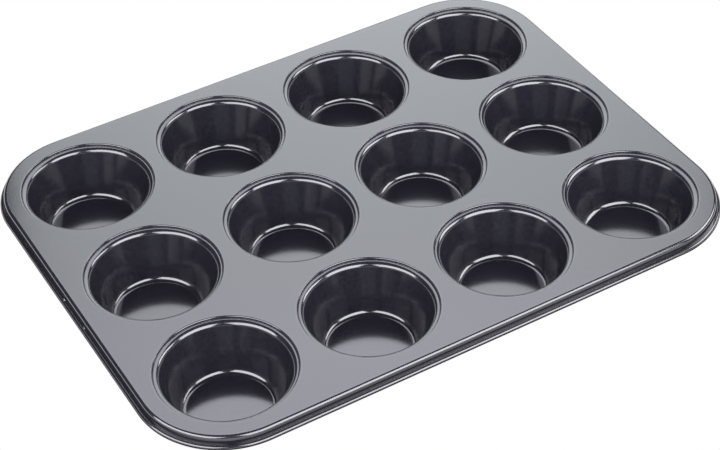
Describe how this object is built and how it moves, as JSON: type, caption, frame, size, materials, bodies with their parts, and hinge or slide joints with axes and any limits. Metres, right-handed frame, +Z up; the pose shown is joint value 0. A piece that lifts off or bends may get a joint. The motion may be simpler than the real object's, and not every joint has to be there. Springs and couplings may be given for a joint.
{
  "type": "muffin tin",
  "caption": "Rectangular steel muffin tin: tapered round cups pressed into a flat deck with rounded corners, and a rounded rim rolled over a wire. Dark non-stick coating.",
  "frame": {"origin": "middle of the plan, on the plane that the cup bases stand on", "axes": "+X along the longer side, +Y along the shorter side, +Z up, out of the cups' mouths"},
  "size_m": [0.3516, 0.2676, 0.0305],
  "materials": {
    "coating": "satin dark grey non-stick coating",
    "wire": "bare drawn steel wire"
  },
  "bodies": {
    "root": {"deck_sheet": "coating", "cup_row1_col1": "coating", "cup_row1_col2": "coating", "cup_row1_col3": "coating", "cup_row1_col4": "coating", "cup_row2_col1": "coating", "cup_row2_col2": "coating", "cup_row2_col3": "coating", "cup_row2_col4": "coating", "cup_row3_col1": "coating", "cup_row3_col2": "coating", "cup_row3_col3": "coating", "cup_row3_col4": "coating", "rolled_rim": "coating", "rim_wire": "wire"}
  },
  "joints": []
}
